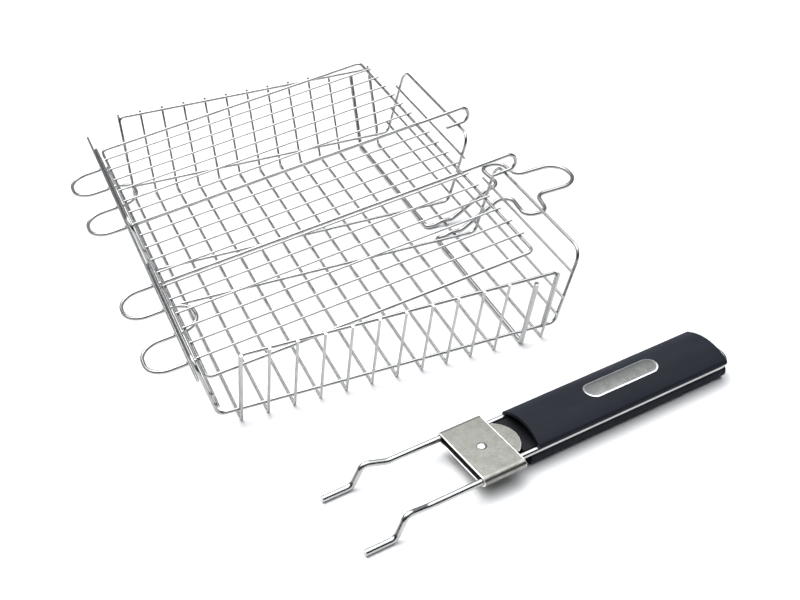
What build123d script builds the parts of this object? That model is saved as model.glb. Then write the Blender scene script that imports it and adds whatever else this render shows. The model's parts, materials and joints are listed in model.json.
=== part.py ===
"""Wire grill basket: a tray, a hinged lid that swings on its left frame wire, and a separate
fork-shaped handle with a plastic grip and a sliding locking sleeve.

Millimetres, +Z up, floor at z = 0.  +X points from the hinge end of the basket to the end with
the handle loop, +Y points from the front wall to the back wall.  The handle lies on the floor in
front of the basket.  The origin is at the bottom centre of everything together.
"""
from build123d import *
import math
import os

os.makedirs("parts", exist_ok=True)

# ---------------------------------------------------------------- driving dimensions
BASKET_X = -26.58               # centre of the basket grid, seen from the origin
BASKET_Y = 60.89
PITCH = 18.0                    # spacing of the wires that run across the tray
CROSS_COUNT = 13
THIN = 2.0                      # diameter of the grid wires
FRAME = 2.4                     # diameter of the rails and frame loops
HEAVY = 3.5                     # diameter of the handle loop wire
WELD_GAP = 0.02                 # daylight left between two wires that are welded together

RAIL_Y = 152.6                  # bottom rails of the front and back wall
RAIL_Z = 10.5                   # the rails sit above the floor wires, on the uprights
WALL_TOP = 65.4
WALL_SLOPE = 0.30               # outward lean of the front and back wall, mm per mm of height
GAP_Y = 25.0                    # half of the gap between the two frame loops
RIGHT_FOOT_X = 117.5            # right end wall, at the bottom rails
RIGHT_TOP_X = 134.5
LEFT_FOOT_X = -122.5            # left end wall, at the bottom rails
LEFT_TOP_X = -133.0
LEFT_TOP_Z = 53.9
FOOT_RADIUS = 6.0               # bends of the frame loops at the floor
TOP_RADIUS = 9.0                # bends of the frame loops at the top of the end walls

LID_X = -127.3                  # centre line of the lid's left frame wire, also the hinge axis
LID_Z = 45.5
LID_TILT = math.radians(8.3)
LID_LENGTH = 225.5
LID_HALF_WIDTH = 157.5
LID_PITCH = 17.28               # spacing of the wires that run along the lid
LID_WIRE_COUNT = 17
LID_WIRE = 1.6
ARM = 2.8                       # diameter of the two lid arm wires
ARM_Y = 41.0

HANDLE_WIRE = 4.2
HANDLE_YAW = 9.0
HANDLE_X = 4.8                  # a point on the handle's axis, in the basket's own axes
HANDLE_Y = -253.7
SEAM_Z = 12.7                   # height of the handle wire over the floor
PRONG_V = 22.6                  # half spacing of the prongs inside the sleeve
GRIP_V = 17.6                   # half spacing of the wire inside the grip
GRIP_START = 38.5
GRIP_END = 192.5
GRIP_HALF_WIDTH = 19.6
GRIP_TOP = 21.8
SLEEVE_START = -5.4
SLEEVE_END = 24.3
SHEET = 1.0                     # thickness of the sleeve and tongue sheet


# ---------------------------------------------------------------- places
def tray_at(x, y, z):
    """A point given in the basket's own axes, moved to the part's frame."""
    return (BASKET_X + x, BASKET_Y + y, z)


def lid_at(along, y, above=0.0):
    """A point on the lid: along its slope from the hinge wire, and square above its plane."""
    x = LID_X + along * math.cos(LID_TILT) - above * math.sin(LID_TILT)
    z = LID_Z + along * math.sin(LID_TILT) + above * math.cos(LID_TILT)
    return tray_at(x, y, z)


HANDLE_DIRECTION = Vector(1, 0, 0).rotate(Axis.Z, HANDLE_YAW)
HANDLE_SIDE = Vector(0, 1, 0).rotate(Axis.Z, HANDLE_YAW)
HANDLE_ORIGIN = Vector(*tray_at(HANDLE_X, HANDLE_Y, 0))


def handle_at(u, v, z):
    """A point on the handle: u along it towards the grip, v across it, z over the floor."""
    return HANDLE_ORIGIN + HANDLE_DIRECTION * u + HANDLE_SIDE * v + Vector(0, 0, z)


def handle_section(u):
    """Plane square to the handle at u; its own x runs across the handle, its y runs up."""
    return Plane(origin=handle_at(u, 0, 0), x_dir=HANDLE_SIDE, z_dir=HANDLE_DIRECTION)


def handle_level(z):
    """Level plane at height z; its own x runs along the handle, its y across it."""
    return Plane(origin=handle_at(0, 0, z), x_dir=HANDLE_DIRECTION, z_dir=(0, 0, 1))


def export(part, name):
    part.label = name
    export_step(part, f"parts/{name}.step")


# ---------------------------------------------------------------- wires
def straight_wire(name, start, end, diameter):
    """A round wire from start to end."""
    with BuildPart() as wire:
        with BuildLine() as path:
            Line(start, end)
        with BuildSketch(Plane(origin=path.line @ 0, z_dir=path.line % 0)):
            Circle(diameter / 2)
        sweep()
    export(wire.part, name)


def bent_wire(name, points, bend_radii, diameter, closed=False):
    """A round wire bent at each point; a closed one has its ends butt welded."""
    with BuildPart() as wire:
        with BuildLine():
            route = FilletPolyline(*points, radius=bend_radii, close=closed)
        with BuildSketch(Plane(origin=route @ 0, z_dir=route % 0)):
            Circle(diameter / 2)
        sweep()
    export(wire.part, name)


def mirrored(points):
    """The same route on the other side of the middle line y = 0, from its end to its start."""
    return [(x, -y, z) for x, y, z in reversed(points)]


# ---------------------------------------------------------------- tray
CROSS_BEND = 3.0                # bends where a wall wire turns onto the floor


def wall_y(z, radius):
    """Centre line of a wire that leans on the outside of the bottom rail."""
    lean = math.hypot(1, WALL_SLOPE)
    return RAIL_Y + (FRAME / 2 + radius + WELD_GAP) * lean + WALL_SLOPE * (z - RAIL_Z)


def make_cross_wire(name, x):
    """A thin wire: down the front wall, across on the floor and up the back wall."""
    radius = THIN / 2
    top_z = WALL_TOP + 1.5
    back = [
        (x, wall_y(radius, radius), radius),
        (x, wall_y(top_z, radius), top_z),
    ]
    route = [tray_at(*point) for point in mirrored(back) + back]
    bent_wire(name, route, CROSS_BEND, THIN)


def make_handle_loop_wire(name):
    """The heavy wire: down the front wall, along the floor, out through the right end wall into
    the handle loop, and the same way back to the back wall."""
    radius = HEAVY / 2
    wall_x = 92.0
    leg = 9.0                           # half spacing of the two legs through the end wall
    shoulder = 41.0                     # half width of the two side bumps
    bulb = 17.0                         # half width of the bulb at the tip
    top_z = WALL_TOP - 3.5
    over_z = THIN + radius + WELD_GAP   # the legs cross over the last thin wire
    rise_start_x, rise_end_x = 113.6, 144.6
    bump_x, neck_x, tip_x = 152.3, 170.7, 211.8
    loop_z, neck_z, tip_z = 23.0, 24.5, 27.0
    front = [
        (wall_x, -wall_y(top_z, radius), top_z),
        (wall_x, -wall_y(radius, radius), radius),
        (wall_x, -leg, radius),
        (98.5, -leg, radius),
        (104.5, -leg, over_z),
        (rise_start_x, -leg, over_z),
        (rise_end_x, -leg, loop_z),
        (bump_x + 3, -leg, loop_z + 0.8),
        (bump_x, -shoulder, neck_z),
        (neck_x, -shoulder, neck_z),
        (neck_x + 3.5, -bulb, neck_z + 0.5),
        (tip_x, -bulb, tip_z),
    ]
    route = [tray_at(*point) for point in front + mirrored(front)]
    radii = [CROSS_BEND, 3, 3, 3, 8, 8, 8, 8, 8, 8, 15]
    bent_wire(name, route, radii + radii[::-1], HEAVY)


def make_top_rail(name, side):
    """A rail inside the top of the front (side -1) or back (side 1) wall.  Its ends bend down
    behind the first and last uprights, to just above the bottom rail."""
    end_x = 6 * PITCH
    inset = (THIN + FRAME + 2 * WELD_GAP) / 2 * math.hypot(1, WALL_SLOPE)
    low_z = RAIL_Z + FRAME / 2 + 1.2
    top_y = side * (wall_y(WALL_TOP, THIN / 2) - inset)
    low_y = side * (wall_y(low_z, THIN / 2) - inset)
    route = [
        tray_at(-end_x, low_y, low_z),
        tray_at(-end_x, top_y, WALL_TOP),
        tray_at(end_x, top_y, WALL_TOP),
        tray_at(end_x, low_y, low_z),
    ]
    bent_wire(name, route, 4, FRAME)


def make_frame_loop(name, side):
    """One closed loop: bottom rail, half of the right end wall, middle wire, left end wall."""
    outer = side * RAIL_Y
    inner = side * GAP_Y
    middle = (outer + inner) / 2
    route = [
        tray_at(0, outer, RAIL_Z),
        tray_at(RIGHT_FOOT_X, outer, RAIL_Z),
        tray_at(RIGHT_TOP_X, outer, WALL_TOP),
        tray_at(RIGHT_TOP_X, inner, WALL_TOP),
        tray_at(RIGHT_FOOT_X, inner, RAIL_Z),
        tray_at(LEFT_FOOT_X, inner, RAIL_Z),
        tray_at(LEFT_TOP_X, inner, LEFT_TOP_Z),
        tray_at(LEFT_TOP_X, outer, LEFT_TOP_Z),
        tray_at(LEFT_FOOT_X, outer, RAIL_Z),
        tray_at(-WELD_GAP, outer, RAIL_Z),
    ]
    corner = [FOOT_RADIUS, TOP_RADIUS, TOP_RADIUS, FOOT_RADIUS]
    bent_wire(name, route, corner + corner, FRAME)


def right_wall_x(z):
    """Inner side of the right end wall's legs, for a thin wire welded to them."""
    slope = (RIGHT_TOP_X - RIGHT_FOOT_X) / (WALL_TOP - RAIL_Z)
    clear = (THIN + FRAME + 2 * WELD_GAP) / 2 * math.hypot(1, slope)
    return RIGHT_FOOT_X + slope * (z - RAIL_Z) - clear


def left_wall_x(z):
    """Inner side of the left end wall's legs, for a thin wire welded to them."""
    slope = (LEFT_TOP_X - LEFT_FOOT_X) / (LEFT_TOP_Z - RAIL_Z)
    clear = (THIN + FRAME + 2 * WELD_GAP) / 2 * math.hypot(1, slope)
    return LEFT_FOOT_X + slope * (z - RAIL_Z) + clear


def make_end_wire(name, x, z, start_y, end_y):
    """A thin wire along Y at one of the end walls."""
    straight_wire(name, tray_at(x, start_y, z), tray_at(x, end_y, z), THIN)


HEAVY_INDEX = 11
for index in range(CROSS_COUNT):
    if index != HEAVY_INDEX:
        make_cross_wire(f"cross_wire_{index + 1:02d}", (index - 6) * PITCH)
make_handle_loop_wire("handle_loop_wire")
make_top_rail("front_top_rail", -1)
make_top_rail("back_top_rail", 1)
make_frame_loop("front_frame_loop", -1)
make_frame_loop("back_frame_loop", 1)

WIRE_END_Y = RAIL_Y + 3
OVERSHOOT_Y = GAP_Y - 8.5
UPPER_Z, MIDDLE_Z, LOWER_Z = 50.9, 31.9, 18.9
make_end_wire("end_wire_upper_front", right_wall_x(UPPER_Z), UPPER_Z, -WIRE_END_Y, -OVERSHOOT_Y)
make_end_wire("end_wire_upper_back", right_wall_x(UPPER_Z), UPPER_Z, OVERSHOOT_Y, WIRE_END_Y)
make_end_wire("end_wire_middle", right_wall_x(MIDDLE_Z), MIDDLE_Z, -WIRE_END_Y, WIRE_END_Y)
make_end_wire("end_wire_lower", right_wall_x(LOWER_Z), LOWER_Z, -WIRE_END_Y, WIRE_END_Y)

HINGE_RAIL_X = LEFT_TOP_X - (THIN + FRAME) / 2 - WELD_GAP
HINGE_RAIL_END_Y = 168.0
make_end_wire("hinge_rail", HINGE_RAIL_X, LEFT_TOP_Z, -HINGE_RAIL_END_Y, HINGE_RAIL_END_Y)
HINGE_MIDDLE_Z, HINGE_LOWER_Z = 28.9, 19.4
for name, z in (("hinge_end_wire_middle", HINGE_MIDDLE_Z), ("hinge_end_wire_lower", HINGE_LOWER_Z)):
    make_end_wire(name, left_wall_x(z), z, -WIRE_END_Y, WIRE_END_Y)


# ---------------------------------------------------------------- lid
def make_lid_frame(name):
    """The lid's closed rectangle of frame wire."""
    route = [
        lid_at(LID_LENGTH / 2, -LID_HALF_WIDTH),
        lid_at(LID_LENGTH, -LID_HALF_WIDTH),
        lid_at(LID_LENGTH, LID_HALF_WIDTH),
        lid_at(0, LID_HALF_WIDTH),
        lid_at(0, -LID_HALF_WIDTH),
        lid_at(LID_LENGTH / 2 - WELD_GAP, -LID_HALF_WIDTH),
    ]
    bent_wire(name, route, 4.5, FRAME)


def make_lid_wire(name, y):
    """A thin wire welded on top of the lid's frame, running along the lid."""
    above = (FRAME + LID_WIRE) / 2 + WELD_GAP
    overshoot = 3.0
    start = lid_at(-FRAME / 2, y, above)
    end = lid_at(LID_LENGTH + overshoot, y, above)
    straight_wire(name, start, end, LID_WIRE)


def make_lid_arm(name, side):
    """A heavier wire under the lid: two loops at the hinge end, a long arm, and a hook that comes
    back to rest on the top of the right end wall."""
    under = -(FRAME + ARM) / 2 - WELD_GAP
    loop_end = -32.4                    # the loops reach this far beyond the hinge wire
    bay_start = 11.0                    # the bend between the two loops lies inside the lid
    second_y, third_y, end_y = 72.0, 102.0, 134.0
    bend = 13.9
    rest_gap = 0.3                      # daylight between the hook and the rail it rests on
    rail_x, rail_z = RIGHT_TOP_X - LID_X, WALL_TOP - LID_Z
    rail_under = rail_x * math.sin(LID_TILT) - rail_z * math.cos(LID_TILT)
    hook_end = 270.6
    hook_drop = rail_under - (FRAME + ARM) / 2 - rest_gap + under
    hook_bend = hook_drop / 2 - 0.05
    return_start = 251.0
    route = [
        lid_at(-0.5, side * end_y, under),
        lid_at(loop_end, side * end_y, under),
        lid_at(loop_end, side * third_y, under),
        lid_at(bay_start, side * third_y, under),
        lid_at(bay_start, side * second_y, under),
        lid_at(loop_end, side * second_y, under),
        lid_at(loop_end, side * ARM_Y, under),
        lid_at(hook_end, side * ARM_Y, under),
        lid_at(hook_end, side * ARM_Y, under - hook_drop),
        lid_at(return_start, side * ARM_Y, under - hook_drop),
    ]
    bent_wire(name, route, [bend] * 6 + [hook_bend] * 2, ARM)


make_lid_frame("lid_frame")
for index in range(LID_WIRE_COUNT):
    make_lid_wire(f"lid_wire_{index + 1:02d}", (index - 8) * LID_PITCH)
make_lid_arm("lid_arm_front", -1)
make_lid_arm("lid_arm_back", 1)


# ---------------------------------------------------------------- handle wire
TAIL_U = 196.0


def handle_route():
    """The handle wire from one prong tip round the tail of the grip to the other tip."""
    tip_v = 25.4
    side = [
        (-87.7, tip_v, HANDLE_WIRE / 2),
        (-67.4, tip_v, HANDLE_WIRE / 2),
        (-59.3, tip_v - 0.6, SEAM_Z + 3.6),
        (-43.6, PRONG_V, SEAM_Z),
        (3.0, PRONG_V, SEAM_Z),
        (18.0, GRIP_V, SEAM_Z),
        (TAIL_U, GRIP_V, SEAM_Z),
    ]
    other = [(u, -v, z) for u, v, z in reversed(side)]
    return [handle_at(*point) for point in side + other]


HANDLE_RADII = [6, 5, 12, 20, 20, 10, 10, 20, 20, 12, 5, 6]
bent_wire("handle_wire", handle_route(), HANDLE_RADII, HANDLE_WIRE)

# ---------------------------------------------------------------- grip
WALL = 2.5                      # thickness of the two plastic shells
SEAM_GAP = 2.4                  # open seam between the shells, where the wire shows
UPPER_FOOT = SEAM_Z + SEAM_GAP / 2
LOWER_TOP = SEAM_Z - SEAM_GAP / 2
ARCH_FOOT = 16.0                # height where the side of the upper shell turns into the arch
LOWER_START = 34.4
LOWER_HALF_WIDTH = 18.0         # the lower shell stands back under the handle wire
CORNER = 2.5                    # rounded rear corners of the grip, in plan
CAVITY_END = GRIP_END - 5
SCREW_U = (62.8, 170.2)
BOSS_RADIUS = 3.5
ARCH_RISE = GRIP_TOP - ARCH_FOOT
ARCH_RADIUS = (GRIP_HALF_WIDTH**2 + ARCH_RISE**2) / (2 * ARCH_RISE)
INLAY_U, INLAY_LENGTH, INLAY_WIDTH = 117.0, 57.7, 14.2
RIM = 1.1                       # width of the bright rim round the inlay
INLAY_DEPTH = 1.0
CUT = 60.0                      # longer than any grip section, for cutting through
WIRE_FIT = 0.02


def cut_wire_groove():
    """Cut the bed of the handle wire out of the shell that is being built."""
    with BuildLine() as bed:
        route = FilletPolyline(*handle_route(), radius=HANDLE_RADII)
    with BuildSketch(Plane(origin=route @ 0, z_dir=route % 0)) as bore:
        Circle(HANDLE_WIRE / 2 + WIRE_FIT)
    sweep(bore.sketch, path=bed.line, mode=Mode.SUBTRACT)


def keep_grip_outline(front_u, front_sag):
    """Keep what lies inside the grip's plan: a front edge that may be hollow, and rounded
    corners at the rear."""
    with BuildSketch(handle_level(-1)) as plan:
        with BuildLine():
            Line((front_u, -GRIP_HALF_WIDTH), (GRIP_END, -GRIP_HALF_WIDTH))
            Line((GRIP_END, -GRIP_HALF_WIDTH), (GRIP_END, GRIP_HALF_WIDTH))
            Line((GRIP_END, GRIP_HALF_WIDTH), (front_u, GRIP_HALF_WIDTH))
            if front_sag > 0:
                start, end = (front_u, GRIP_HALF_WIDTH), (front_u, -GRIP_HALF_WIDTH)
                ThreePointArc(start, (front_u + front_sag, 0), end)
            else:
                Line((front_u, GRIP_HALF_WIDTH), (front_u, -GRIP_HALF_WIDTH))
        make_face()
        fillet(plan.vertices().group_by(Axis.X)[-1], CORNER)
    extrude(plan.sketch, amount=GRIP_TOP + 2, mode=Mode.INTERSECT)


def make_grip_upper_shell(name):
    """The arched upper shell, with a pocket for the inlay and two screw bosses inside."""
    inner_half = GRIP_HALF_WIDTH - WALL
    with BuildPart() as shell:
        with BuildSketch(handle_section(GRIP_START - 1)):
            with BuildLine():
                Line((-GRIP_HALF_WIDTH, UPPER_FOOT), (-GRIP_HALF_WIDTH, ARCH_FOOT))
                left, right = (-GRIP_HALF_WIDTH, ARCH_FOOT), (GRIP_HALF_WIDTH, ARCH_FOOT)
                ThreePointArc(left, (0, GRIP_TOP), right)
                Line((GRIP_HALF_WIDTH, ARCH_FOOT), (GRIP_HALF_WIDTH, UPPER_FOOT))
                Line((GRIP_HALF_WIDTH, UPPER_FOOT), (-GRIP_HALF_WIDTH, UPPER_FOOT))
            make_face()
        extrude(amount=GRIP_END - GRIP_START + 2)
        keep_grip_outline(GRIP_START, 1.5)
        long_edges = shell.edges().filter_by(lambda edge: edge.length > GRIP_END / 2)
        fillet(long_edges.group_by(Axis.Z)[-1], 3)
        with BuildSketch(handle_section(0)):
            with BuildLine():
                Line((-inner_half, 0), (-inner_half, ARCH_FOOT - 0.8))
                left, right = (-inner_half, ARCH_FOOT - 0.8), (inner_half, ARCH_FOOT - 0.8)
                ThreePointArc(left, (0, GRIP_TOP - WALL), right)
                Line((inner_half, ARCH_FOOT - 0.8), (inner_half, 0))
                Line((inner_half, 0), (-inner_half, 0))
            make_face()
        extrude(amount=CAVITY_END, mode=Mode.SUBTRACT)
        with BuildSketch(handle_level(WALL + WELD_GAP)):
            with Locations(*[(u, 0) for u in SCREW_U]):
                Circle(BOSS_RADIUS)
                Circle(1.3, mode=Mode.SUBTRACT)
        extrude(amount=GRIP_TOP - 2 * WALL + 1)
        with BuildSketch(handle_section(INLAY_U - INLAY_LENGTH)):
            with Locations((0, GRIP_TOP - ARCH_RADIUS)):
                Circle(ARCH_RADIUS + 5)
                Circle(ARCH_RADIUS - INLAY_DEPTH, mode=Mode.SUBTRACT)
            with Locations((0, GRIP_TOP)):
                Rectangle(INLAY_WIDTH + 2 * RIM, 8, mode=Mode.INTERSECT)
        band = extrude(amount=2 * INLAY_LENGTH, mode=Mode.PRIVATE)
        with BuildSketch(handle_level(0)):
            with Locations((INLAY_U, 0)):
                SlotOverall(INLAY_LENGTH, INLAY_WIDTH)
        oval = extrude(amount=CUT, mode=Mode.PRIVATE)
        add(band & oval, mode=Mode.SUBTRACT)
        cut_wire_groove()
    export(shell.part, name)


def make_inlay(name, length, width, hole_length, hole_width, proud):
    """A plate or ring that follows the arch of the grip, standing proud of it."""
    with BuildPart() as plate:
        with BuildSketch(handle_section(INLAY_U - INLAY_LENGTH)):
            with Locations((0, GRIP_TOP - ARCH_RADIUS)):
                Circle(ARCH_RADIUS + proud)
                Circle(ARCH_RADIUS - INLAY_DEPTH + WELD_GAP, mode=Mode.SUBTRACT)
            with Locations((0, GRIP_TOP)):
                Rectangle(INLAY_WIDTH + 2 * RIM, 8, mode=Mode.INTERSECT)
        extrude(amount=2 * INLAY_LENGTH)
        with BuildSketch(handle_level(0)):
            with Locations((INLAY_U, 0)):
                SlotOverall(length, width)
                if hole_length > 0:
                    SlotOverall(hole_length, hole_width, mode=Mode.SUBTRACT)
        extrude(amount=CUT, mode=Mode.INTERSECT)
    export(plate.part, name)


def make_grip_lower_shell(name):
    """The lower shell: an open trough that rests on the floor, with two countersunk holes."""
    inner_half = LOWER_HALF_WIDTH - WALL
    with BuildPart() as shell:
        with BuildSketch(handle_section(LOWER_START - 1)):
            with Locations((0, LOWER_TOP / 2)):
                body = Rectangle(2 * LOWER_HALF_WIDTH, LOWER_TOP)
            fillet(body.vertices().group_by(Axis.Z)[0], 5.5)
        extrude(amount=GRIP_END - LOWER_START + 2)
        keep_grip_outline(LOWER_START, 0)
        with BuildSketch(handle_level(WALL)):
            cavity_start = LOWER_START + WALL
            with Locations(((cavity_start + CAVITY_END) / 2, 0)):
                Rectangle(CAVITY_END - cavity_start, 2 * inner_half)
        extrude(amount=LOWER_TOP, mode=Mode.SUBTRACT)
        with Locations(Plane(origin=handle_at(0, 0, 0), x_dir=HANDLE_DIRECTION, z_dir=(0, 0, -1))):
            with Locations(*[(u, 0) for u in SCREW_U]):
                CounterSinkHole(radius=1.6, counter_sink_radius=3.1, depth=WALL)
        cut_wire_groove()
    export(shell.part, name)


def make_grip_core(name):
    """The filler block between the shells, with a nose that shows in front of the upper shell."""
    half = GRIP_V - HANDLE_WIRE / 2 - 0.3
    top = SEAM_Z + 1.1
    nose_start, nose_foot = 30.0, 6.0
    block_start = LOWER_START + WALL + WIRE_FIT
    block_end = CAVITY_END - WIRE_FIT
    with BuildPart() as core:
        with BuildSketch(handle_level(WALL + WIRE_FIT)):
            with Locations(((block_start + block_end) / 2, 0)):
                Rectangle(block_end - block_start, 2 * half)
        extrude(amount=top - WALL - WIRE_FIT)
        with BuildSketch(handle_level(LOWER_TOP + WIRE_FIT)):
            with Locations(((nose_start + block_start + 1) / 2, 0)):
                Rectangle(block_start + 1 - nose_start, 2 * half)
        extrude(amount=top - LOWER_TOP - WIRE_FIT)
        with BuildSketch(handle_level(nose_foot)):
            with Locations(((nose_start + LOWER_START - WIRE_FIT) / 2, 0)):
                Rectangle(LOWER_START - WIRE_FIT - nose_start, 2 * half)
        extrude(amount=top - nose_foot)
        with BuildSketch(handle_level(0)):
            with Locations(*[(u, 0) for u in SCREW_U]):
                Circle(BOSS_RADIUS + 0.1)
        extrude(amount=CUT, mode=Mode.SUBTRACT)
    export(core.part, name)


def make_grip_screws(name):
    """Two countersunk screws from below, through the lower shell into the upper shell's bosses."""
    with BuildPart() as screws:
        for u in SCREW_U:
            with BuildSketch(Plane(origin=handle_at(u, 0, 0), x_dir=HANDLE_DIRECTION, z_dir=-HANDLE_SIDE)):
                with BuildLine():
                    Polyline((0, 0.1), (2.9, 0.1), (1.25, 1.75), (1.25, 12.0), (0, 13.0), (0, 0.1))
                make_face()
            revolve(axis=Axis(handle_at(u, 0, 0), (0, 0, 1)))
    export(screws.part, name)


make_grip_upper_shell("grip_upper_shell")
make_grip_lower_shell("grip_lower_shell")
make_grip_core("grip_core")
make_grip_screws("grip_screws")
FIT = 2 * WELD_GAP
HOLE_LENGTH, HOLE_WIDTH = INLAY_LENGTH - 2 * RIM, INLAY_WIDTH - 2 * RIM
make_inlay("inlay_rim", INLAY_LENGTH - FIT, INLAY_WIDTH - FIT, HOLE_LENGTH, HOLE_WIDTH, 0.45)
make_inlay("inlay_plate", HOLE_LENGTH - FIT, HOLE_WIDTH - FIT, 0, 0, 0.2)

# ---------------------------------------------------------------- locking sleeve
SLEEVE_WIDTH = 52.0
SLEEVE_HEIGHT = 7.0
RIVET_U = 9.5
TONGUE_TOP = SEAM_Z + SLEEVE_HEIGHT / 2 - SHEET - WELD_GAP


def make_locking_sleeve(name):
    """A flattened tube of sheet that slides on the two prongs."""
    inner_height = SLEEVE_HEIGHT - 2 * SHEET
    with BuildPart() as sleeve:
        with BuildSketch(handle_section(SLEEVE_START)):
            with Locations((0, SEAM_Z)):
                RectangleRounded(SLEEVE_WIDTH, SLEEVE_HEIGHT, SLEEVE_HEIGHT / 2 - 0.1)
                inner_width = SLEEVE_WIDTH - 2 * SHEET
                RectangleRounded(inner_width, inner_height, inner_height / 2 - 0.1, mode=Mode.SUBTRACT)
        extrude(amount=SLEEVE_END - SLEEVE_START)
        with BuildSketch(handle_level(SEAM_Z)):
            with Locations((RIVET_U, 0)):
                Circle(1.5)
        extrude(amount=SLEEVE_HEIGHT, mode=Mode.SUBTRACT)
    export(sleeve.part, name)


def make_thumb_tongue(name):
    """A plate riveted under the sleeve's top sheet, its round end sticking out to the rear."""
    arc_radius = 17.8
    tip_u = 34.4
    half_width = 14.9
    start_u = 4.0
    with BuildPart() as tongue:
        with BuildSketch(handle_level(TONGUE_TOP - SHEET)):
            with Locations((tip_u - arc_radius, 0)):
                Circle(arc_radius)
            with Locations((start_u + CUT / 2, 0)):
                Rectangle(CUT, 2 * half_width, mode=Mode.INTERSECT)
            with Locations((RIVET_U, 0)):
                Circle(1.5, mode=Mode.SUBTRACT)
        extrude(amount=SHEET)
    export(tongue.part, name)


def make_sleeve_rivet(name):
    """The domed rivet that holds the tongue to the sleeve."""
    head = 3.4
    shank = 1.48
    crown = 0.6                         # small flat in the middle of the dome
    top = SEAM_Z + SLEEVE_HEIGHT / 2 + WELD_GAP
    low = TONGUE_TOP - SHEET - WELD_GAP
    foot = handle_at(RIVET_U, 0, 0)
    with BuildPart() as rivet:
        with BuildSketch(Plane(origin=foot, x_dir=HANDLE_DIRECTION, z_dir=-HANDLE_SIDE)):
            with BuildLine():
                Line((0, low - 0.7), (2.4, low - 0.7))
                Line((2.4, low - 0.7), (2.4, low))
                Line((2.4, low), (shank, low))
                Line((shank, low), (shank, top))
                Line((shank, top), (head, top))
                ThreePointArc((head, top), (head * 0.72, top + 0.8), (crown, top + 1.25))
                Line((crown, top + 1.25), (0, top + 1.25))
                Line((0, top + 1.25), (0, low - 0.7))
            make_face()
        revolve(axis=Axis(foot, (0, 0, 1)))
    export(rivet.part, name)


make_locking_sleeve("locking_sleeve")
make_thumb_tongue("thumb_tongue")
make_sleeve_rivet("sleeve_rivet")
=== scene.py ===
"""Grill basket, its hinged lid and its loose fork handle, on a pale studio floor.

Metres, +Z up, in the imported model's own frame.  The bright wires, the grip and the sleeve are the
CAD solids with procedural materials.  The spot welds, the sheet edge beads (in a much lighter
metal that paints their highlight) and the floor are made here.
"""
import json
import math

import bmesh
import bpy
from mathutils import Matrix, Vector


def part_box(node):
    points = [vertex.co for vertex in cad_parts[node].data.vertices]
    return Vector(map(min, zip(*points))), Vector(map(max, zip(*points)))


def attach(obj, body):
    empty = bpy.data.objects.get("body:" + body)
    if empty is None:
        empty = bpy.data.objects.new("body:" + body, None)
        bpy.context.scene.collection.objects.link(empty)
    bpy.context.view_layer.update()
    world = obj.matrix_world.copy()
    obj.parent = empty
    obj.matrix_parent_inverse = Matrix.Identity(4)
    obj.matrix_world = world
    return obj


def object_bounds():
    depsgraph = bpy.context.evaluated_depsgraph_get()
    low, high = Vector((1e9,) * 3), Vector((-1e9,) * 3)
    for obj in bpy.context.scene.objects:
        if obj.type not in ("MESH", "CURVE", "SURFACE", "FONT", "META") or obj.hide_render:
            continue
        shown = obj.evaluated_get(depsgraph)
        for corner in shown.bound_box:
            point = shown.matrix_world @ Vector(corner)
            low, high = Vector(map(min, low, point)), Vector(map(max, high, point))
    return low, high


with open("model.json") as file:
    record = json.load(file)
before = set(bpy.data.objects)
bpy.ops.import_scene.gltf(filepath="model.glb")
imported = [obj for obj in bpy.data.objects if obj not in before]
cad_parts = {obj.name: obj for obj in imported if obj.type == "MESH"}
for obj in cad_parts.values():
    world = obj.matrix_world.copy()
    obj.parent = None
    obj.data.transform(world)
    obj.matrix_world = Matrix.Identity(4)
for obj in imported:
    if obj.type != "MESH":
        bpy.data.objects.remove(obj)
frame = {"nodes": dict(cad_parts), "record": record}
cad_low, cad_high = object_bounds()

MM = 0.001
HANDLE_YAW = math.radians(9.0)
NODES = frame["nodes"]


# ---------------------------------------------------------------- node helpers
def new_material(name, colour, metallic, roughness):
    """A Principled material, returned with its tree and shader."""
    material = bpy.data.materials.new(name)
    material.use_nodes = True
    tree = material.node_tree
    shader = tree.nodes["Principled BSDF"]
    shader.inputs["Base Color"].default_value = (*colour, 1)
    shader.inputs["Metallic"].default_value = metallic
    shader.inputs["Roughness"].default_value = roughness
    return material, tree, shader


def noise(tree, scale, detail=3.0, stretch=(1, 1, 1), turn=0.0, distortion=0.0):
    """Noise in object space, stretched along the axes after turning by turn about Z."""
    place = tree.nodes.new("ShaderNodeTexCoord")
    mapping = tree.nodes.new("ShaderNodeMapping")
    mapping.vector_type = "TEXTURE"
    mapping.inputs["Rotation"].default_value = (0, 0, turn)
    mapping.inputs["Scale"].default_value = stretch
    texture = tree.nodes.new("ShaderNodeTexNoise")
    texture.inputs["Scale"].default_value = scale
    texture.inputs["Detail"].default_value = detail
    texture.inputs["Distortion"].default_value = distortion
    tree.links.new(place.outputs["Object"], mapping.inputs["Vector"])
    tree.links.new(mapping.outputs["Vector"], texture.inputs["Vector"])
    return texture.outputs["Fac"]


def spread(tree, value, low, high, start=0.3, end=0.7):
    """Value from start..end mapped to low..high."""
    node = tree.nodes.new("ShaderNodeMapRange")
    node.inputs["From Min"].default_value = start
    node.inputs["From Max"].default_value = end
    node.inputs["To Min"].default_value = low
    node.inputs["To Max"].default_value = high
    tree.links.new(value, node.inputs["Value"])
    return node.outputs["Result"]


def two_tone(tree, value, first, second, start=0.3, end=0.7):
    """Colour that goes from first to second as value goes from start to end."""
    node = tree.nodes.new("ShaderNodeValToRGB")
    node.color_ramp.elements[0].position = start
    node.color_ramp.elements[0].color = (*first, 1)
    node.color_ramp.elements[1].position = end
    node.color_ramp.elements[1].color = (*second, 1)
    tree.links.new(value, node.inputs["Fac"])
    return node.outputs["Color"]


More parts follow.
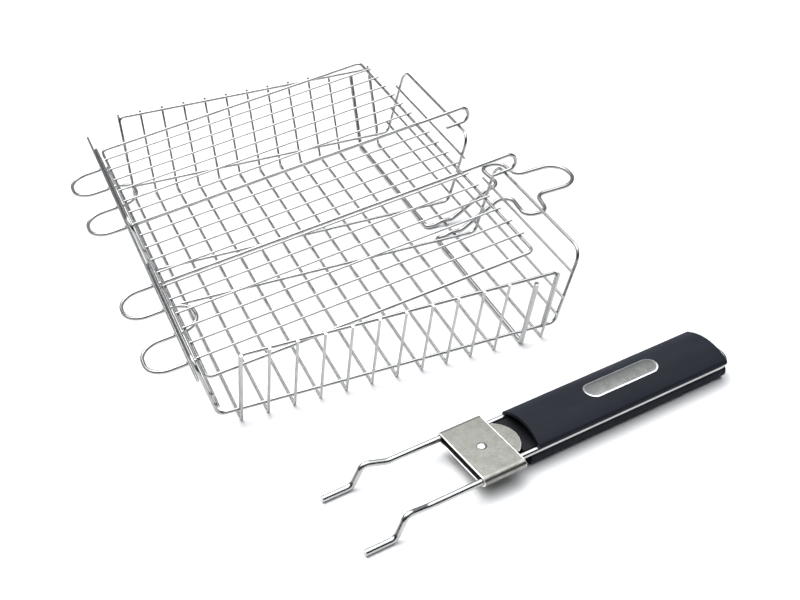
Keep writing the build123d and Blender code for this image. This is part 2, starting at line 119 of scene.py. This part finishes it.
def bump(tree, shader, height, distance, strength=1.0, under=None):
    """Bump of that height in metres on the shader, on top of another bump."""
    node = tree.nodes.new("ShaderNodeBump")
    node.inputs["Strength"].default_value = strength
    node.inputs["Distance"].default_value = distance
    tree.links.new(height, node.inputs["Height"])
    if under is not None:
        tree.links.new(under, node.inputs["Normal"])
    tree.links.new(node.outputs["Normal"], shader.inputs["Normal"])
    return node.outputs["Normal"]


# ---------------------------------------------------------------- materials
def bright_wire_material(name, tone):
    """Polished stainless wire: faint draw marks, and patches a little duller than the rest."""
    material, tree, shader = new_material(name, (tone, tone, tone), 1.0, 0.16)
    patches = noise(tree, 90, detail=4)
    low, high = tone * 0.86, tone * 1.04
    colour = two_tone(tree, patches, (low, low, low * 0.985), (high, high, high))
    tree.links.new(colour, shader.inputs["Base Color"])
    tree.links.new(spread(tree, patches, 0.3, 0.17), shader.inputs["Roughness"])
    marks = noise(tree, 1400, detail=2)
    bump(tree, shader, marks, 0.00001, 0.5)
    return material


def brushed_material(name, dark, light, roughness, turn=HANDLE_YAW):
    """Brushed sheet: fine lines along the handle over a soft mottle."""
    line_share = 0.55
    material, tree, shader = new_material(name, light, 1.0, roughness)
    lines = noise(tree, 1900, detail=4, stretch=(3.5, 1, 1), turn=turn)
    mottle = noise(tree, 130, detail=4)
    mix = tree.nodes.new("ShaderNodeMath")
    mix.operation = "MULTIPLY_ADD"
    mix.inputs[1].default_value = 1 - line_share
    tree.links.new(mottle, mix.inputs[0])
    weighted = tree.nodes.new("ShaderNodeMath")
    weighted.operation = "MULTIPLY"
    weighted.inputs[1].default_value = line_share
    tree.links.new(lines, weighted.inputs[0])
    tree.links.new(weighted.outputs["Value"], mix.inputs[2])
    grain = mix.outputs["Value"]
    colour = two_tone(tree, grain, dark, light, 0.38, 0.62)
    gloss = spread(tree, grain, roughness + 0.08, roughness - 0.06, 0.38, 0.62)
    tree.links.new(colour, shader.inputs["Base Color"])
    tree.links.new(gloss, shader.inputs["Roughness"])
    bump(tree, shader, lines, 0.000012, 0.6)
    return material


def soft_touch_material(name, dark, light, roughness):
    """Matt blue-black plastic with a very fine grain and faint handling marks."""
    material, tree, shader = new_material(name, dark, 0.0, roughness)
    marks = noise(tree, 45, detail=5, stretch=(2.5, 1, 1), turn=HANDLE_YAW)
    tree.links.new(two_tone(tree, marks, dark, light, 0.35, 0.75), shader.inputs["Base Color"])
    tree.links.new(spread(tree, marks, roughness + 0.06, roughness - 0.07), shader.inputs["Roughness"])
    shader.inputs["Specular IOR Level"].default_value = 0.14
    coarse = bump(tree, shader, noise(tree, 1800, detail=2), 0.00003, 0.5)
    bump(tree, shader, noise(tree, 5200, detail=1), 0.000015, 0.5, under=coarse)
    return material


def floor_material(name):
    """Pale studio board with a faint sheen."""
    material, tree, shader = new_material(name, (0.9, 0.9, 0.9), 0.0, 0.38)
    shader.inputs["Specular IOR Level"].default_value = 0.25
    cloud = noise(tree, 2.5, detail=2)
    colour = two_tone(tree, cloud, (0.895, 0.9, 0.91), (0.905, 0.91, 0.92))
    tree.links.new(colour, shader.inputs["Base Color"])
    return material


MATERIALS = {
    "basket_wire": bright_wire_material("bright_wire", 0.42),
    "handle_wire": bright_wire_material("fork_wire", 0.5),
    "grip_plastic": soft_touch_material(
        "soft_touch", (0.0085, 0.0105, 0.016), (0.013, 0.016, 0.024), 0.55),
    "core_plastic": soft_touch_material(
        "core_plastic", (0.005, 0.0055, 0.007), (0.008, 0.0085, 0.011), 0.45),
    "screw_steel": brushed_material("screw_steel", (0.42, 0.42, 0.42), (0.6, 0.6, 0.6), 0.35),
    "inlay_rim": bright_wire_material("rim_metal", 0.8),
    "inlay_plate": brushed_material("inlay_metal", (0.15, 0.155, 0.15), (0.25, 0.255, 0.25), 0.42),
    "sleeve_sheet": brushed_material("sleeve_metal", (0.2, 0.2, 0.18), (0.31, 0.31, 0.28), 0.36),
    "rivet": bright_wire_material("rivet_metal", 0.8),
}
# Sheet edge beads: a much lighter copy of the sleeve metal, a painted highlight where the edges catch the
# light.
PAINTED_HIGHLIGHT_METAL = brushed_material("edge_painted_highlight", (0.84, 0.84, 0.82), (0.97, 0.97, 0.95), 0.43)
for entry in frame["record"]["subparts"]:
    node = NODES[entry["node"]]
    node.data.materials.clear()
    node.data.materials.append(MATERIALS[entry["material_slot"]])


# ---------------------------------------------------------------- spot welds
WIRE_SIZE = 2.4 * MM                    # diameter of the rails and frame wires
THIN_SIZE = 2.0 * MM                    # diameter of the thin tray wires
LID_WIRE_SIZE = 1.6 * MM


def middle(node):
    """Centre of a node's box at rest."""
    low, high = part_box(node)
    return (Vector(low) + Vector(high)) / 2


def add_nugget(builder, centre, size, squash, seed):
    """One squashed, slightly uneven weld nugget."""
    made = bmesh.ops.create_icosphere(builder, subdivisions=2, radius=size / 2)
    for vertex in made["verts"]:
        point = vertex.co
        wobble = 1 + 0.09 * math.sin(seed + point.x * 2600) * math.cos(seed * 1.7 + point.y * 2300)
        vertex.co = Vector((point.x * squash.x, point.y * squash.y, point.z * squash.z)) * wobble + centre


def make_welds(name, places, body):
    """All the weld nuggets of one body as one piece; places are (centre, size, squash)."""
    builder = bmesh.new()
    for index, (centre, size, squash) in enumerate(places):
        add_nugget(builder, centre, size, squash, index * 1.3)
    mesh = bpy.data.meshes.new(name)
    builder.to_mesh(mesh)
    builder.free()
    for face in mesh.polygons:
        face.use_smooth = True
    piece = bpy.data.objects.new(name, mesh)
    mesh.materials.append(MATERIALS["basket_wire"])
    bpy.context.scene.collection.objects.link(piece)
    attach(piece, body)


def tray_weld_places():
    """Where the thin wires' uprights touch the bottom and top rails."""
    flat = Vector((1.0, 0.5, 0.85))
    places = []
    uprights = [middle(node).x for node in NODES if node.startswith("cross_wire")]
    walls = ((-1, "front_frame_loop", "front_top_rail"), (1, "back_frame_loop", "back_top_rail"))
    for side, loop, rail in walls:
        loop_low, loop_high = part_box(loop)
        rail_low, rail_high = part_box(rail)
        foot_y = loop_low[1] if side < 0 else loop_high[1]
        top_y = rail_low[1] if side < 0 else rail_high[1]
        for x in uprights:
            places.append((Vector((x, foot_y, loop_low[2] + WIRE_SIZE / 2)), THIN_SIZE, flat))
            places.append((Vector((x, top_y, rail_high[2] - WIRE_SIZE / 2)), THIN_SIZE, flat))
    return places


def lid_weld_places():
    """Where each lid wire lies on the two ends of the lid's frame."""
    low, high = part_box("lid_frame")
    run, rise = high[0] - low[0] - WIRE_SIZE, high[2] - low[2] - WIRE_SIZE
    tilt = math.atan2(rise, run)
    above = Vector((-math.sin(tilt), 0, math.cos(tilt))) * (WIRE_SIZE / 2)
    hinge_end = Vector((low[0] + WIRE_SIZE / 2, 0, low[2] + WIRE_SIZE / 2)) + above
    free_end = Vector((high[0] - WIRE_SIZE / 2, 0, high[2] - WIRE_SIZE / 2)) + above
    places = []
    for node in NODES:
        if node.startswith("lid_wire"):
            across = Vector((0, middle(node).y, 0))
            places.append((hinge_end + across, LID_WIRE_SIZE, Vector((1.0, 1.0, 0.5))))
            places.append((free_end + across, LID_WIRE_SIZE, Vector((1.0, 1.0, 0.5))))
    return places


# ---------------------------------------------------------------- sheet edges, coloured as painted highlight
SLEEVE_WIDTH, SLEEVE_HEIGHT, SHEET = 52 * MM, 7 * MM, 1 * MM
TONGUE_RADIUS, TONGUE_HALF_WIDTH = 17.8 * MM, 14.9 * MM
SLEEVE_FRONT, SLEEVE_REAR, TONGUE_TIP = -14.9 * MM, 14.8 * MM, 24.9 * MM    # from the rivet
ALONG = Vector((math.cos(HANDLE_YAW), math.sin(HANDLE_YAW), 0))
ACROSS = Vector((-math.sin(HANDLE_YAW), math.cos(HANDLE_YAW), 0))


def make_edge(name, points, closed, bead):
    """A bead of sheet edge along a line of points, in the lighter metal that paints its highlight."""
    curve = bpy.data.curves.new(name, "CURVE")
    curve.dimensions = "3D"
    curve.bevel_depth = bead / 2
    curve.bevel_resolution = 3
    curve.use_fill_caps = not closed
    spline = curve.splines.new("POLY")
    spline.points.add(len(points) - 1)
    for spot, point in zip(spline.points, points):
        spot.co = (*point, 1)
    spline.use_cyclic_u = closed
    # The bead takes the lighter edge metal, which paints the rim's highlight.
    curve.materials.append(PAINTED_HIGHLIGHT_METAL)
    piece = bpy.data.objects.new(name, curve)
    bpy.context.scene.collection.objects.link(piece)
    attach(piece, "sleeve")


def sleeve_profile(centre):
    """The middle of the sleeve's sheet, all round, square to the handle."""
    half_width, half_height = (SLEEVE_WIDTH - SHEET) / 2, (SLEEVE_HEIGHT - SHEET) / 2
    steps = 9
    points = []
    for side, start in ((1, -90), (-1, 90)):
        for step in range(steps + 1):
            angle = math.radians(start + 180 * step / steps)
            v = side * (half_width - half_height) + half_height * math.cos(angle)
            points.append(centre + ACROSS * v + Vector((0, 0, half_height * math.sin(angle))))
    return points


def make_sheet_edges():
    """Beads on both mouths of the sleeve, and round the end of the tongue, coloured as painted highlight.
    """
    rivet = middle("sleeve_rivet")
    sleeve_z = middle("locking_sleeve").z
    tongue_z = middle("thumb_tongue").z
    for name, offset in (("sleeve_front_edge", SLEEVE_FRONT), ("sleeve_rear_edge", SLEEVE_REAR)):
        centre = Vector((rivet.x, rivet.y, sleeve_z)) + ALONG * offset
        make_edge(name, sleeve_profile(centre), True, SHEET * 1.1)
    arc_steps = 24
    arc_centre = Vector((rivet.x, rivet.y, tongue_z)) + ALONG * (TONGUE_TIP - TONGUE_RADIUS)
    reach = math.asin(TONGUE_HALF_WIDTH / TONGUE_RADIUS)
    turns = [reach * (2 * step / arc_steps - 1) for step in range(arc_steps + 1)]
    arc = [arc_centre + (ALONG * math.cos(t) + ACROSS * math.sin(t)) * TONGUE_RADIUS for t in turns]
    make_edge("tongue_edge", arc, False, SHEET)


make_welds("tray_welds", tray_weld_places(), "tray")
make_welds("lid_welds", lid_weld_places(), "lid")
make_sheet_edges()

# ---------------------------------------------------------------- floor, lights, camera
def make_floor():
    half = 2.0                          # the floor ends where the light on it falls off
    drop = 0.2 * MM                     # just under the wires that stand on it
    height = cad_low.z - drop
    corners = [(-half, -half), (half, -half), (half, half), (-half, half)]
    mesh = bpy.data.meshes.new("studio_floor")
    mesh.from_pydata([(x, y, height) for x, y in corners], [], [(0, 1, 2, 3)])
    floor = bpy.data.objects.new("studio_floor", mesh)
    floor.data.materials.append(floor_material("floor_board"))
    bpy.context.scene.collection.objects.link(floor)


def make_area_light(name, place, aim, size, power, tint=(1, 1, 1)):
    data = bpy.data.lights.new(name, "AREA")
    data.shape = "RECTANGLE"
    data.size, data.size_y = size
    data.energy = power
    data.color = tint
    lamp = bpy.data.objects.new(name, data)
    lamp.location = place
    lamp.rotation_euler = (Vector(aim) - Vector(place)).to_track_quat("-Z", "Y").to_euler()
    bpy.context.scene.collection.objects.link(lamp)


def make_world():
    """A studio that is dark towards -Y and grey towards +Y, so that bright wire has something to
    reflect.  The backdrop itself, where the view meets it, is pale all round."""
    world = bpy.data.worlds.new("studio")
    bpy.context.scene.world = world
    world.use_nodes = True
    tree = world.node_tree
    place = tree.nodes.new("ShaderNodeTexCoord")
    split = tree.nodes.new("ShaderNodeSeparateXYZ")
    tree.links.new(place.outputs["Generated"], split.inputs["Vector"])
    depth = spread(tree, split.outputs["Y"], 0.0, 1.0, -1.0, 1.0)
    shade = two_tone(tree, depth, (0.012, 0.013, 0.016), (0.3, 0.31, 0.33), 0.25, 0.8)
    height = two_tone(tree, split.outputs["Z"], (0, 0, 0), (0.9, 0.9, 0.9), 0.62, 0.95)
    sky = tree.nodes.new("ShaderNodeMix")
    sky.data_type = "RGBA"
    sky.blend_type = "ADD"
    sky.inputs["Factor"].default_value = 1.0
    tree.links.new(shade, sky.inputs["A"])
    tree.links.new(height, sky.inputs["B"])
    backdrop = tree.nodes.new("ShaderNodeMix")
    backdrop.data_type = "RGBA"
    backdrop.inputs["B"].default_value = (0.99, 0.99, 0.995, 1)
    seen = tree.nodes.new("ShaderNodeLightPath")
    tree.links.new(seen.outputs["Is Camera Ray"], backdrop.inputs["Factor"])
    tree.links.new(sky.outputs["Result"], backdrop.inputs["A"])
    tree.links.new(backdrop.outputs["Result"], tree.nodes["Background"].inputs["Color"])


def make_camera():
    """The camera looks down on the basket from the front left."""
    azimuth, elevation, roll = math.radians(21.793), math.radians(35.615), math.radians(-1.388)
    distance = 0.9029                   # from the point looked at
    target = Vector((0.0056, -0.0192, 0.0069))
    ahead = Vector((math.sin(azimuth) * math.cos(elevation), math.cos(azimuth) * math.cos(elevation),
                    -math.sin(elevation)))
    level = Vector((math.cos(azimuth), -math.sin(azimuth), 0))
    upright = level.cross(ahead)
    right = level * math.cos(roll) + upright * math.sin(roll)
    up = upright * math.cos(roll) - level * math.sin(roll)
    data = bpy.data.cameras.new("camera")
    data.sensor_width = 36.0
    data.lens = 56.73
    data.dof.use_dof = False
    data.clip_start, data.clip_end = 0.01, 50
    camera = bpy.data.objects.new("camera", data)
    turn = Matrix((right, up, -ahead)).transposed().to_4x4()
    camera.matrix_world = Matrix.Translation(target - ahead * distance) @ turn
    bpy.context.scene.collection.objects.link(camera)
    bpy.context.scene.camera = camera


make_floor()
make_world()
make_area_light("key", (-0.5, 0.7, 1.8), (0, 0, 0), (2.2, 1.8), 44, (1, 0.995, 0.985))
make_area_light("top", (0.4, 0.1, 2.0), (0, 0, 0), (2.6, 2.2), 34, (0.95, 0.975, 1))
make_camera()
bpy.context.scene.view_settings.view_transform = "Standard"
